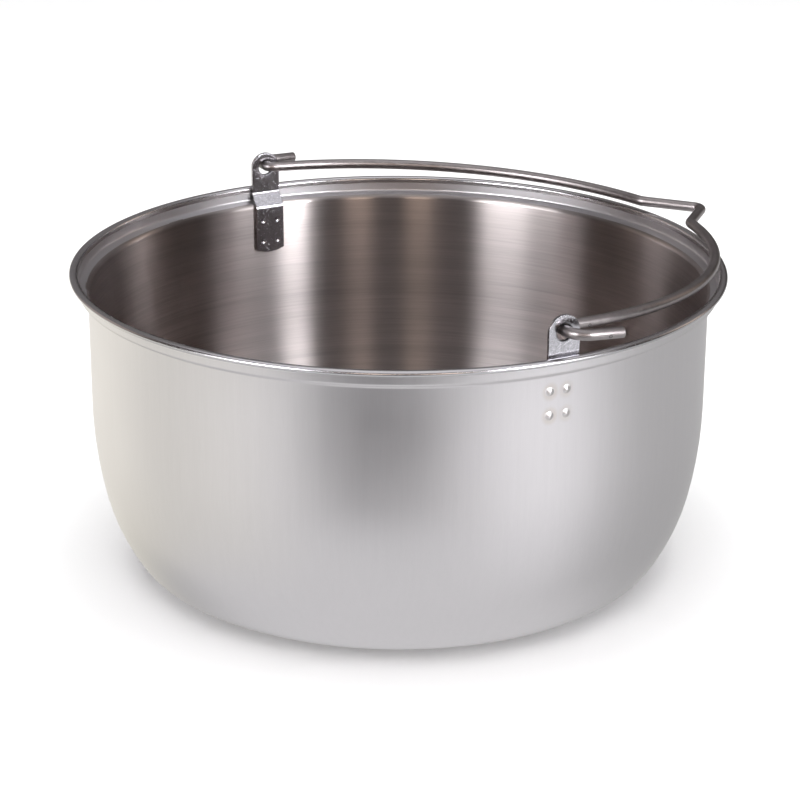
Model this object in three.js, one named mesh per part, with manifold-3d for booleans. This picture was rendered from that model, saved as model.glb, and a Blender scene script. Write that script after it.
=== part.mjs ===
// Stainless pot with a folding wire bail.
//
// A deep-drawn shell with a lid seat and a rolled lip, two joggled ears spot-welded inside its
// mouth, and one bent wire bail with a hook at each end and a V-shaped hanging notch.
// Millimetres, +Z up. The origin is the centre of the base's underside, the ears stand on the
// Y axis, and the bail lies folded towards +X, resting on the lip.

import * as THREE from 'three';
import { mergeVertices } from 'three/addons/utils/BufferGeometryUtils.js';
import Module from 'manifold-3d';

const wasm = await Module();
wasm.setup();

// ---------------------------------------------------------------- driving dimensions

// shell
const INNER_RADIUS = 140;
const POT_HEIGHT = 140.5;
const SHEET = 0.8;
const HEEL_BENDS = [
  // the outside of the heel, from the wall down to the flat base: each radius and the slope,
  // in degrees from vertical, that its arc ends at
  { radius: 187.5, endSlope: 12.8 },
  { radius: 89.2, endSlope: 32.9 },
  { radius: 18.2, endSlope: 90 },
];
const SHELL_SIDES = 72;

// lid seat and rolled lip, measured on the inside of the sheet
const SEAT_WIDTH = 5;
const SEAT_SLOPE = 15;
const SEAT_DEPTH = 7.1;
const SEAT_OUTER_BEND = 1;
const SEAT_INNER_BEND = 2.5;
const LIP_HALF_WIDTH = 2;
const LIP_HALF_HEIGHT = 1.4;
const LIP_CURL_END = -110;

// ears
const EAR_WIDTH = 14.6;
const EAR_THICKNESS = 1.5;
const EAR_GAP = 0.4;
const EAR_TAB_LENGTH = 23.4;
const EAR_TAB_END_SAG = 1.7;
const JOGGLE_SLANT = 39.8;
const JOGGLE_BEND = 2.5;
const EAR_HOLE_ABOVE_LIP = 9.8;

// spot welds, two rows of two in each ear, each a button in a small clearance hole
const WELD_RADIUS = 1.5;
const WELD_GAP = 0.3;
const WELD_HEAD_RADIUS = 2.2;
const WELD_HEAD_HEIGHT = 0.7;
const WELD_PIT_DEPTH = 0.5;
const WELD_COLUMN_PITCH = 7.8;
const WELD_ROW_PITCH = 10.6;
const WELD_FIRST_ROW = 7.1;

// bail: the point is how far each half's arc is centred past the middle, which makes the
// bail narrower than a half circle and gives it a slight peak at the notch
const WIRE_RADIUS = 2.4;
const WIRE_SIDES = 12;
const WIRE_IN_HOLE = 1.35;
const WIRE_UNDER_HOLE_TOP = 0.45;
const WIRE_BESIDE_EAR = 1.35;
const WIRE_OVER_LIP = 1.83;
const BAIL_POINT = 9.2;
const NOTCH_HALF_WIDTH = 21.1;
const NOTCH_DEPTH = 21.4;
const NOTCH_BASE_BEND = 6;
const NOTCH_TIP_BEND = 4;
const HOOK_LENGTH = 21.5;
const HOOK_FLARE = 5;
const HOOK_OFFSET = 8.8;
const HOOK_OUTER_BEND = 5.6;
const HOOK_INNER_BEND = 0.8;

// length of the bars that cut the holes, enough to pass through one sheet
const DRILL_LENGTH = 10;

// ---------------------------------------------------------------- worked-out sizes

const radians = THREE.MathUtils.degToRad;
const facetReach = Math.cos(Math.PI / SHELL_SIDES);

const wallOuter = INNER_RADIUS + SHEET;
const wallMiddle = INNER_RADIUS + SHEET / 2;
const stepInner = INNER_RADIUS + SEAT_WIDTH;
const lipCentreRadius = stepInner + LIP_HALF_WIDTH;
const lipCentreHeight = POT_HEIGHT - LIP_HALF_HEIGHT;
const lipOuter = lipCentreRadius + LIP_HALF_WIDTH;

// the seat's two corners before they are rounded, on the inside of the sheet
const seatOuterHeight = POT_HEIGHT - SEAT_DEPTH;
const seatInnerHeight = seatOuterHeight - SEAT_WIDTH * Math.tan(radians(SEAT_SLOPE));
const seatTurn = radians(90 - SEAT_SLOPE);
const wallTop = seatInnerHeight - SEAT_INNER_BEND * Math.tan(seatTurn / 2);

// the farthest out that a flat strip of the ear's width can stand inside a round wall
const insideReach = (radius) => Math.sqrt((radius * facetReach) ** 2 - (EAR_WIDTH / 2) ** 2) - EAR_GAP;
const tabRadius = insideReach(INNER_RADIUS) - EAR_THICKNESS / 2;
const headRadius = insideReach(stepInner) - EAR_THICKNESS / 2;

// height of the joggle's mid-line at a radius: its slant clears the seat's rounded inner corner
function joggleHeight(radius) {
  const across = INNER_RADIUS + SEAT_INNER_BEND - radius;
  const clear = SEAT_INNER_BEND + EAR_GAP + EAR_THICKNESS / 2;
  const slant = radians(JOGGLE_SLANT);
  return wallTop - (across * Math.cos(slant) - clear) / Math.sin(slant);
}

// the wire bears on the top of its hole, so the bail turns about a line above the hole's centre
const earHoleHeight = POT_HEIGHT + EAR_HOLE_ABOVE_LIP;
const earHoleRadius = WIRE_RADIUS + WIRE_IN_HOLE;
const pivotHeight = earHoleHeight + WIRE_IN_HOLE - WIRE_UNDER_HOLE_TOP;
const earBottom = joggleHeight(tabRadius) - EAR_TAB_LENGTH;
const earTop = earHoleHeight + EAR_WIDTH / 2;

// the bail's own plane: u runs from the pivot to the middle of the bail, v along the pivot
const bailHalfSpan = headRadius - EAR_THICKNESS / 2 - WIRE_BESIDE_EAR - WIRE_RADIUS;
const bailArc = bailHalfSpan + BAIL_POINT;
const hookCorner = headRadius + EAR_THICKNESS / 2 + HOOK_OFFSET;
const restDrop = pivotHeight - (POT_HEIGHT + WIRE_OVER_LIP + WIRE_RADIUS);
const restTilt = Math.asin(restDrop / (lipOuter + WIRE_RADIUS));

// ---------------------------------------------------------------- helpers

const point = (x, y) => new THREE.Vector2(x, y);

// points along an oval's outline from one angle to another, in degrees, both ends included
function ovalArc(centre, radiusX, radiusY, start, end, steps) {
  return Array.from({ length: steps + 1 }, (_, step) => {
    const angle = radians(start + ((end - start) * step) / steps);
    return point(centre.x + radiusX * Math.cos(angle), centre.y + radiusY * Math.sin(angle));
  });
}

const arc = (centre, radius, start, end, steps) => ovalArc(centre, radius, radius, start, end, steps);

function toSolid(geometry) {
  const bare = geometry.clone();
  bare.deleteAttribute('normal');
  bare.deleteAttribute('uv');
  const merged = mergeVertices(bare, 1e-5);
  return new wasm.Manifold(new wasm.Mesh({
    numProp: 3,
    vertProperties: new Float32Array(merged.attributes.position.array),
    triVerts: new Uint32Array(merged.index.array),
  }));
}

function toGeometry(solid) {
  const { vertProperties, triVerts } = solid.getMesh();
  const geometry = new THREE.BufferGeometry();
  geometry.setAttribute('position', new THREE.BufferAttribute(vertProperties, 3));
  geometry.setIndex(new THREE.BufferAttribute(triVerts, 1));
  geometry.computeVertexNormals();
  return geometry;
}

// a solid of revolution about Z from [radius, height] points
function turned(profile, sides) {
  return new THREE.LatheGeometry(profile, sides).rotateX(Math.PI / 2);
}

// a round bar along Y, centred in the sheet that it is cut from
function drill(radius, x, y, z) {
  const bar = new THREE.CylinderGeometry(radius, radius, DRILL_LENGTH, 20);
  return toSolid(bar.translate(x, y, z));
}

const weldPlaces = [0, 1].flatMap((row) => [-1, 1].map((side) => ({
  x: (side * WELD_COLUMN_PITCH) / 2,
  z: joggleHeight(tabRadius) - WELD_FIRST_ROW - row * WELD_ROW_PITCH,
})));

// ---------------------------------------------------------------- shell

// one face of the sheet, from the flat base up to the lip: grow is 0 on the inside of the
// sheet and SHEET on its outside
function shellFace(grow) {
  const points = [];
  const wall = INNER_RADIUS + grow;
  let slope = 0;
  let radius = wall;
  let height = HEEL_BENDS.reduce((sum, bend, index) => {
    const startSlope = index ? HEEL_BENDS[index - 1].endSlope : 0;
    return sum + bend.radius * (Math.sin(radians(bend.endSlope)) - Math.sin(radians(startSlope)));
  }, 0);
  for (const bend of HEEL_BENDS) {
    const bendRadius = bend.radius - SHEET + grow;
    const centre = point(
      radius - bendRadius * Math.cos(radians(slope)),
      height + bendRadius * Math.sin(radians(slope)),
    );
    const steps = Math.max(3, Math.round((bend.endSlope - slope) / 11));
    points.push(...arc(centre, bendRadius, -slope, -bend.endSlope, steps));
    slope = bend.endSlope;
    radius = points.at(-1).x;
    height = points.at(-1).y;
  }
  points.reverse();

  const innerBend = SEAT_INNER_BEND - grow;
  const outerBend = SEAT_OUTER_BEND + grow;
  const outerBendHeight = seatOuterHeight + SEAT_OUTER_BEND * Math.tan(seatTurn / 2);
  const innerBendCentre = point(INNER_RADIUS + SEAT_INNER_BEND, wallTop);
  const outerBendCentre = point(stepInner - SEAT_OUTER_BEND, outerBendHeight);
  points.push(...arc(innerBendCentre, innerBend, 180, 90 + SEAT_SLOPE, 3));
  points.push(...arc(outerBendCentre, outerBend, SEAT_SLOPE - 90, 0, 3));
  points.push(...ovalArc(
    point(lipCentreRadius, lipCentreHeight),
    LIP_HALF_WIDTH - grow,
    LIP_HALF_HEIGHT - grow,
    180,
    LIP_CURL_END,
    grow ? 8 : 12,
  ));
  return points;
}

function shellGeometry() {
  const outside = [point(0, 0), ...shellFace(SHEET)];
  const inside = [point(0, SHEET), ...shellFace(0)].reverse();
  let shell = toSolid(turned([...outside, ...inside], SHELL_SIDES));
  for (const { x, z } of weldPlaces) {
    for (const side of [-1, 1]) {
      shell = shell.subtract(drill(WELD_RADIUS + WELD_GAP, x, side * wallMiddle, z));
    }
  }
  return toGeometry(shell);
}

// ---------------------------------------------------------------- ears

// the bent strip seen from its side, with y as the distance from the pot's axis
function earSection() {
  const slant = 90 - JOGGLE_SLANT;
  const half = EAR_THICKNESS / 2;
  const tangent = JOGGLE_BEND * Math.tan(radians(JOGGLE_SLANT) / 2);
  const lower = point(tabRadius + JOGGLE_BEND, joggleHeight(tabRadius) - tangent);
  const upper = point(headRadius - JOGGLE_BEND, joggleHeight(headRadius) + tangent);
  const face = (side) => [
    point(tabRadius + side * half, earBottom),
    ...arc(lower, JOGGLE_BEND - side * half, 180, 90 + slant, 4),
    ...arc(upper, JOGGLE_BEND + side * half, slant - 90, 0, 4),
    point(headRadius + side * half, earTop),
  ];
  return new THREE.Shape([...face(1), ...face(-1).reverse()]);
}

// the strip seen from the front: a round head, straight sides and a slightly bowed end
function earOutline() {
  const half = EAR_WIDTH / 2;
  const sag = EAR_TAB_END_SAG;
  const endRadius = (half ** 2 + sag ** 2) / (2 * sag);
  const sweep = THREE.MathUtils.radToDeg(Math.asin(half / endRadius));
  return new THREE.Shape([
    ...arc(point(0, earHoleHeight), half, 0, 180, 18),
    ...arc(point(0, earBottom + endRadius), endRadius, 270 - sweep, 270 + sweep, 6),
  ]);
}

// the ear that stands at +Y
function earSolid() {
  const strip = new THREE.ExtrudeGeometry(earSection(), { depth: EAR_WIDTH, bevelEnabled: false });
  strip.translate(0, 0, -EAR_WIDTH / 2);
  strip.applyMatrix4(new THREE.Matrix4().set(0, 0, 1, 0, 1, 0, 0, 0, 0, 1, 0, 0, 0, 0, 0, 1));
  const depth = headRadius - tabRadius + 4 * EAR_THICKNESS;
  const front = new THREE.ExtrudeGeometry(earOutline(), { depth, bevelEnabled: false });
  front.rotateX(Math.PI / 2).translate(0, headRadius + 2 * EAR_THICKNESS, 0);
  let ear = toSolid(strip).intersect(toSolid(front));
  ear = ear.subtract(drill(earHoleRadius, 0, headRadius, earHoleHeight));
  for (const { x, z } of weldPlaces) {
    ear = ear.subtract(drill(WELD_RADIUS + WELD_GAP, x, tabRadius, z));
  }
  return ear;
}

// ---------------------------------------------------------------- spot welds

// one weld button about Z: the pit that the electrode left is at the low end, on the ear, and
// the raised head at the high end, outside the wall
function weldGeometry() {
  const pitFace = tabRadius - EAR_THICKNESS / 2;
  const headFace = wallOuter + WELD_GAP;
  const pitSphere = (WELD_RADIUS ** 2 + WELD_PIT_DEPTH ** 2) / (2 * WELD_PIT_DEPTH);
  const pitSweep = THREE.MathUtils.radToDeg(Math.asin(WELD_RADIUS / pitSphere));
  const headSphere = (WELD_HEAD_RADIUS ** 2 + WELD_HEAD_HEIGHT ** 2) / (2 * WELD_HEAD_HEIGHT);
  const headSweep = THREE.MathUtils.radToDeg(Math.asin(WELD_HEAD_RADIUS / headSphere));
  const pitCentre = point(0, pitFace + WELD_PIT_DEPTH - pitSphere);
  const headCentre = point(0, headFace + WELD_HEAD_HEIGHT - headSphere);
  const profile = [
    ...arc(pitCentre, pitSphere, 90, 90 - pitSweep, 3),
    point(WELD_RADIUS, headFace),
    ...arc(headCentre, headSphere, 90 - headSweep, 90, 4),
  ];
  profile[0].x = 0;
  profile.at(-1).x = 0;
  return turned(profile, 12);
}

// ---------------------------------------------------------------- bail

// a path through given stations, so that bends get short steps and long runs get long ones
class StationPath extends THREE.Curve {
  constructor(stations) {
    super();
    this.stations = stations;
  }

  getPointAt(share) {
    const station = this.stations[Math.round(share * (this.stations.length - 1))];
    return new THREE.Vector3(station.x, station.y, 0);
  }

  getTangentAt(share) {
    const index = Math.round(share * (this.stations.length - 1));
    const before = this.stations[Math.max(index - 1, 0)];
    const after = this.stations[Math.min(index + 1, this.stations.length - 1)];
    return new THREE.Vector3(after.x - before.x, after.y - before.y, 0).normalize();
  }
}

// the +Y half of the bail's centre line, from the hook's cut end to the tip of the notch
function halfBail() {
  const flare = radians(HOOK_FLARE);
  const outerBend = WIRE_RADIUS + HOOK_OUTER_BEND;
  const innerBend = WIRE_RADIUS + HOOK_INNER_BEND;
  const outerTangent = outerBend * Math.tan(radians(90 - HOOK_FLARE) / 2);
  const hookEnd = point(HOOK_LENGTH, hookCorner + HOOK_LENGTH * Math.tan(flare));

  // the hook's inner bend leads into the bail's arc
  const arcCentre = point(0, -BAIL_POINT);
  const innerReach = bailArc + innerBend;
  const innerTurn = THREE.MathUtils.radToDeg(Math.asin(innerBend / innerReach));
  const innerCentre = point(innerBend, arcCentre.y + Math.sqrt(innerReach ** 2 - innerBend ** 2));

  // the bend at the notch's base touches the bail's arc on one side and the notch's leg on the other
  const arcRun = Math.sqrt(bailArc ** 2 - (NOTCH_HALF_WIDTH + BAIL_POINT) ** 2);
  const base = point(arcCentre.x + arcRun, NOTCH_HALF_WIDTH);
  const legAngle = Math.atan2(NOTCH_HALF_WIDTH, NOTCH_DEPTH);
  const legNormal = point(Math.sin(legAngle), Math.cos(legAngle));
  const reach = bailArc + NOTCH_BASE_BEND;
  const legClear = legNormal.dot(base.clone().sub(arcCentre));
  const baseTurn = Math.PI / 2 - legAngle - Math.acos((NOTCH_BASE_BEND + legClear) / reach);
  const baseAngle = THREE.MathUtils.radToDeg(baseTurn);
  const baseCentre = arcCentre.clone().add(point(reach * Math.cos(baseTurn), reach * Math.sin(baseTurn)));
  const legDegrees = THREE.MathUtils.radToDeg(legAngle);
  const tipX = base.x + NOTCH_DEPTH - NOTCH_TIP_BEND / Math.sin(legAngle);

  return [
    hookEnd,
    ...arc(point(outerBend, hookCorner - outerTangent), outerBend, 90 + HOOK_FLARE, 180, 6),
    ...arc(innerCentre, innerBend, 180, 270 - innerTurn, 6),
    ...arc(arcCentre, bailArc, 90 - innerTurn, baseAngle, 24),
    ...arc(baseCentre, NOTCH_BASE_BEND, 180 + baseAngle, 270 - legDegrees, 4),
    ...arc(point(tipX, 0), NOTCH_TIP_BEND, 90 - legDegrees, 0, 4),
  ];
}

function bailGeometry() {
  const half = halfBail();
  const mirrored = half.slice(0, -1).reverse().map(({ x, y }) => point(x, -y));
  const stations = [...half, ...mirrored];
  const section = new THREE.Shape(arc(point(0, 0), WIRE_RADIUS, 0, 360, WIRE_SIDES).slice(0, -1));
  return new THREE.ExtrudeGeometry(section, {
    steps: stations.length - 1,
    extrudePath: new StationPath(stations),
    bevelEnabled: false,
  });
}

// ---------------------------------------------------------------- assembly

const satinSteel = new THREE.MeshStandardMaterial({ color: 0xbdbbb6, roughness: 0.42, metalness: 1 });
const stampedSteel = new THREE.MeshStandardMaterial({ color: 0x9a9794, roughness: 0.3, metalness: 1 });
const weldedSteel = new THREE.MeshStandardMaterial({ color: 0xb5aea2, roughness: 0.35, metalness: 1 });
const wireSteel = new THREE.MeshStandardMaterial({ color: 0x8f8a84, roughness: 0.32, metalness: 1 });

function named(name, geometry, material) {
  const mesh = new THREE.Mesh(geometry, material);
  mesh.name = name;
  return mesh;
}

const pot = new THREE.Group();
pot.add(named('pot_body', shellGeometry(), satinSteel));

const ear = toGeometry(earSolid());
const weld = weldGeometry();
for (const { side, turn } of [{ side: 'front', turn: Math.PI }, { side: 'rear', turn: 0 }]) {
  const earGroup = new THREE.Group();
  earGroup.rotation.z = turn;
  earGroup.add(named(`bail_ear_${side}`, ear, stampedSteel));
  weldPlaces.forEach(({ x, z }, index) => {
    const button = named(`spot_weld_${side}_${index + 1}`, weld, weldedSteel);
    button.position.set(x, 0, z);
    button.rotation.x = -Math.PI / 2;
    earGroup.add(button);
  });
  pot.add(earGroup);
}

const bail = named('bail', bailGeometry(), wireSteel);
bail.position.z = pivotHeight;
bail.rotation.y = restTilt;
pot.add(bail);

export default pot;
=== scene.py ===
"""Looks for a stainless pot with a folding wire bail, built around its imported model.

Metres throughout. +Z is up, the origin is the centre of the underside of the base, the ears stand
on the Y axis, and the bail lies folded towards +X.
"""

import math

import bmesh
import bpy
from mathutils import Matrix, Vector


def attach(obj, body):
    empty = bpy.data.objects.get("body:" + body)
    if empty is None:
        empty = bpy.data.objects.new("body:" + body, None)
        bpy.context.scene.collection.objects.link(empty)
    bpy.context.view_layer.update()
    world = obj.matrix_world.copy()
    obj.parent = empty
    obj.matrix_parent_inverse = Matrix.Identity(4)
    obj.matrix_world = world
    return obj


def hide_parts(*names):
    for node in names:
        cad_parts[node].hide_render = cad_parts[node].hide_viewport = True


# ------------------------------------------------------------------ sizes

# points nearer to each other than this are one
MERGE_WITHIN = 1e-6

# shell, on the inside of its sheet; each heel bend is a radius and the slope it ends at
INNER_RADIUS = 0.140
POT_HEIGHT = 0.1405
SHEET = 0.0008
HEEL_BENDS = ((0.1875, 12.8), (0.0892, 32.9), (0.0182, 90.0))
HEEL_LEAST_STEPS = 5
HEEL_STEP_TURN = 4
WALL_ROWS = (0.35, 0.7)
SHELL_STEPS = 192
WALL_FACETS = 72

SEAT_WIDTH = 0.005
SEAT_SLOPE = 15.0
SEAT_DEPTH = 0.0071
SEAT_OUTER_BEND = 0.001
SEAT_OUTER_STEPS = 6
SEAT_INNER_BEND = 0.0025
SEAT_INNER_STEPS = 8
LIP_HALF_WIDTH = 0.002
LIP_HALF_HEIGHT = 0.0014
LIP_CURL_TURN = 290.0
LIP_STEPS = 28
LIP_FOOT = POT_HEIGHT - 0.0034
LIP_FULL = POT_HEIGHT - 0.0026

STEP_INNER = INNER_RADIUS + SEAT_WIDTH
SEAT_OUTER_HEIGHT = POT_HEIGHT - SEAT_DEPTH
SEAT_TURN = math.radians(90.0 - SEAT_SLOPE)
WALL_TOP = (
    SEAT_OUTER_HEIGHT
    - SEAT_WIDTH * math.tan(math.radians(SEAT_SLOPE))
    - SEAT_INNER_BEND * math.tan(SEAT_TURN / 2)
)
WALL_OUTER = INNER_RADIUS + SHEET

# ears
EAR_WIDTH = 0.0146
EAR_THICKNESS = 0.0015
EAR_GAP = 0.0004
EAR_NECK = 0.0005
EAR_EDGE_BEND = 0.00035
EAR_EDGE_STEPS = 3
EAR_TAB_ROWS = 8
EAR_TAB_LENGTH = 0.0234
EAR_TAB_END_SAG = 0.0017
JOGGLE_SLANT = 39.8
JOGGLE_BEND = 0.0025
JOGGLE_STEPS = 6
EAR_HOLE_HEIGHT = POT_HEIGHT + 0.0098
EAR_HOLE_RADIUS = 0.00375
EAR_HOLE_SIDES = 48

# spot welds
WELD_COLUMN_PITCH = 0.0078
WELD_ROW_PITCH = 0.0106
WELD_FIRST_ROW = 0.0071
WELD_HEAD_RADIUS = 0.0024
WELD_HEAD_HEIGHT = 0.0005
WELD_HEAD_SINK = 0.00015
WELD_HEAD_SIDES = 32
WELD_HEAD_RINGS = 9
WELD_PIT_RADIUS = 0.0014
WELD_PIT_DEPTH = 0.0005
PUNCH_SIDES = 48
PUNCH_RINGS = 32

# bail
WIRE_RADIUS = 0.0024
WIRE_SIDES = 24
WIRE_END_BEND = 0.0005
WIRE_END_STEPS = 3
PIVOT_HEIGHT = 0.1512
BAIL_HALF_SPAN = 0.13903
BAIL_POINT = 0.0092
BAIL_STEPS = 72
REST_TILT = 2.45
NOTCH_HALF_WIDTH = 0.0211
NOTCH_DEPTH = 0.0214
NOTCH_BASE_BEND = 0.006
NOTCH_BASE_STEPS = 10
NOTCH_TIP_BEND = 0.004
NOTCH_TIP_STEPS = 16
HOOK_LENGTH = 0.0215
HOOK_FLARE = 5.0
HOOK_OFFSET = 0.0088
HOOK_OUTER_BEND = 0.008
HOOK_INNER_BEND = 0.0032
HOOK_STEPS = 12
JAW_MARK_FROM_END = 0.0072
JAW_MARK_DROP = 0.0012
JAW_MARK_RADIUS = 0.0006
JAW_MARK_EDGE = (0.0001, 0.0003)

# ------------------------------------------------------------------ finish values

OUTSIDE_COLOUR = (0.72, 0.70, 0.715)
OUTSIDE_ROUGHNESS = 0.38
INSIDE_COLOUR = (0.47, 0.43, 0.42)
INSIDE_ROUGHNESS = 0.288
RIM_COLOUR = (0.66, 0.65, 0.665)
RIM_ROUGHNESS = 0.34
LIP_ROUGHNESS = 0.23
# the faint blue in the ears' colour is a painted reflection of bluish surroundings
EAR_COLOUR = (0.50, 0.495, 0.525)
EAR_ROUGHNESS = 0.20
WELD_TINT = (0.5, 0.4, 0.28, 1)
WIRE_COLOUR = (0.35, 0.322, 0.322)
WIRE_ROUGHNESS = 0.37
# where the painted shade on the wire round each pivot is full and where it has faded out
WIRE_PAINTED_SHADE_REACH = (0.0025, 0.0062)
# how far the painted shade round each ear's hole reaches out from the hole's edge
HOLE_PAINTED_SHADE_WIDTH = 0.0008
BUMP_DEPTH = 0.00002

# ------------------------------------------------------------------ stage values

VIEW_TURN = math.radians(-28)
CAMERA_LENS = 111.26
CAMERA_PLACE = (0.00105, -1.0770, 0.4746)
CAMERA_AIM = (0.00105, 0, 0.07307)
CAMERA_ROLL = math.radians(0.31)
FLOOR_SIZE = 12
FLOOR_DROP = 0.0002
FLOOR_COLOUR = (0.9, 0.9, 0.9, 1)
OVERHEAD_SIZE = 1.6
OVERHEAD_HEIGHT = 1.5
OVERHEAD_POWER = 25
WORLD_STRENGTH = 0.75

# a dark card on the table before the pot, as the camera sees it: its middle and its two half sizes
CARD_PLACE = (-0.058, -0.66, 0.0005)
CARD_SIZE = (0.265, 0.44)
CARD_FULL_TO = 0.55
CARD_COLOUR = (0.12, 0.12, 0.13, 1)

# the studio that the metal mirrors: azimuth 0 is the camera's side and positive is to its right
TABLE_COLOUR = (0.81, 0.81, 0.815, 1)
ROOM_COLOUR = (0.045, 0.034, 0.032, 1)
WHITE = (1.0, 0.995, 1.02)
WARM = (1.0, 0.95, 0.80)
TAN = (1.0, 0.80, 0.66)
STUDIO_PATCHES = (
    # azimuth, half width, soft edge, height, half height, soft edge, strength, colour;
    # angles in degrees, and a negative strength darkens
    (-43.0, 6.0, 8.0, 17.0, 12.0, 5.0, 11.0, WHITE),
    (42.5, 4.0, 3.0, 17.0, 12.0, 5.0, 22.0, WHITE),
    (57.5, 8.5, 2.5, 17.0, 12.0, 5.0, 4.3, WHITE),
    (-60.0, 4.0, 4.0, 17.0, 12.0, 5.0, 4.5, WHITE),
    (16.0, 3.0, 4.0, 17.0, 12.0, 5.0, 2.2, TAN),
    (-8.0, 3.0, 4.0, 17.0, 12.0, 5.0, 2.2, TAN),
    (119.0, 4.0, 8.0, 17.0, 12.0, 5.0, 0.8, TAN),
    (-118.0, 15.0, 10.0, 17.0, 12.0, 5.0, 0.3, TAN),
    (0.0, 25.0, 15.0, 17.0, 12.0, 5.0, 0.25, WHITE),
    (0.0, 180.0, 10.0, 85.0, 25.0, 12.0, 0.85, WHITE),
    (180.0, 60.0, 30.0, 22.0, 32.0, 16.0, 0.15, WHITE),
    (-3.0, 16.0, 22.0, -4.0, 10.0, 10.0, -0.45, WHITE),
    (-60.0, 15.0, 15.0, -20.0, 10.0, 15.0, 0.09, WHITE),
    (55.0, 10.0, 18.0, -20.0, 12.0, 15.0, 0.27, WHITE),
    (135.0, 40.0, 30.0, -20.0, 20.0, 20.0, -0.30, WHITE),
    (-155.0, 30.0, 30.0, -22.0, 12.0, 10.0, 0.31, WARM),
    (-110.0, 40.0, 40.0, -22.0, 12.0, 10.0, 0.06, (0.3, 0.1, -1.0)),
    (-142.0, 20.0, 22.0, -42.0, 6.0, 12.0, -0.27, WHITE),
    (68.0, 13.0, 12.0, 47.0, 8.0, 8.0, 0.9, WHITE),
)

# ------------------------------------------------------------------ places from the sizes


def flat_strip_radius(wall_radius):
    """How far out the mid-line of a flat strip of the ear's width stands inside a round wall."""
    facet = math.cos(math.pi / WALL_FACETS)
    reach = math.sqrt((wall_radius * facet) ** 2 - (EAR_WIDTH / 2) ** 2)
    return reach - EAR_GAP - EAR_THICKNESS / 2


TO_THE_FRONT = Matrix.Rotation(math.pi, 4, "Z")
TAB_RADIUS = flat_strip_radius(INNER_RADIUS)
HEAD_RADIUS = flat_strip_radius(STEP_INNER)


def joggle_height(radius):
    """Height of the joggle's slanted mid-line at a distance from the pot's axis."""
    across = INNER_RADIUS + SEAT_INNER_BEND - radius
    clear = SEAT_INNER_BEND + EAR_GAP + EAR_THICKNESS / 2
    slant = math.radians(JOGGLE_SLANT)
    return WALL_TOP - (across * math.cos(slant) - clear) / math.sin(slant)


# ------------------------------------------------------------------ modelling by hand


def deselect():
    bpy.ops.object.select_all(action="DESELECT")


def pick(obj):
    """Makes obj the only selected object and the active one."""
    deselect()
    obj.select_set(True)
    bpy.context.view_layer.objects.active = obj


def edit(obj, mode="VERT"):
    """Opens obj for editing with nothing selected."""
    pick(obj)
    bpy.ops.object.mode_set(mode="EDIT")
    bpy.ops.mesh.select_mode(type=mode)
    bpy.ops.mesh.select_all(action="DESELECT")


def leave():
    """Ends editing."""
    bpy.ops.object.mode_set(mode="OBJECT")


def select_where(obj, kind, test):
    """Selects the edges or faces that pass a test of their middle and of themselves."""
    mesh = bmesh.from_edit_mesh(obj.data)
    for part in getattr(mesh, kind):
        middle = sum((v.co for v in part.verts), Vector()) / len(part.verts)
        part.select = bool(test(middle, part))
    mesh.select_flush_mode()
    bmesh.update_edit_mesh(obj.data)


def settle(obj):
    """Puts the piece's place in its mesh, with the object itself at the origin."""
    obj.data.transform(obj.matrix_world)
    obj.matrix_world = Matrix.Identity(4)


def apply_modifier(obj, kind, **settings):
    """Adds a modifier with its settings and applies it."""
    modifier = obj.modifiers.new(kind.title(), kind)
    for key, value in settings.items():
        setattr(modifier, key, value)
    pick(obj)
    bpy.ops.object.modifier_apply(modifier=modifier.name)


def copied(obj, name, change):
    """A copy of a piece with its own mesh, moved or turned by a matrix."""
    copy = obj.copy()
    copy.data = obj.data.copy()
    copy.name = name
    bpy.context.scene.collection.objects.link(copy)
    copy.data.transform(change)
    return copy


def smooth(obj, degrees=35.0):
    """Shades smooth across every edge blunter than an angle."""
    pick(obj)
    bpy.ops.object.shade_smooth_by_angle(angle=math.radians(degrees))


def single_point(name, place):
    """An object that is one vertex, ready to be drawn out."""
    deselect()
    bpy.ops.mesh.primitive_plane_add(size=0.01, location=place)
    obj = bpy.context.active_object
    obj.name = name
    settle(obj)
    edit(obj)
    bpy.ops.mesh.select_all(action="SELECT")
    bpy.ops.mesh.merge(type="CENTER")
    return obj


def draw_to(here, there):
    """Draws the selected point or edges straight out from here to there."""
    step = Vector(there) - Vector(here)
    bpy.ops.mesh.extrude_region_move(TRANSFORM_OT_translate={"value": step})


def polar(centre, radius, degrees):
    """A point in the XZ plane, at a distance and an angle from a centre."""
    angle = math.radians(degrees)
    return Vector((centre[0] + radius * math.cos(angle), 0, centre[1] + radius * math.sin(angle)))


def arc(centre, radius, start, end, steps):
    """Points along an arc in the XZ plane, from one angle in degrees to another."""
    turn = (end - start) / steps
    return [polar(centre, radius, start + turn * step) for step in range(steps + 1)]


def spin(centre, axis, degrees, steps):
    """Sweeps the selected edges round an axis, anticlockwise as seen from the axis's tip."""
    bpy.ops.mesh.spin(steps=steps, angle=-math.radians(degrees), center=centre, axis=axis)


# ------------------------------------------------------------------ shell


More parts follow.
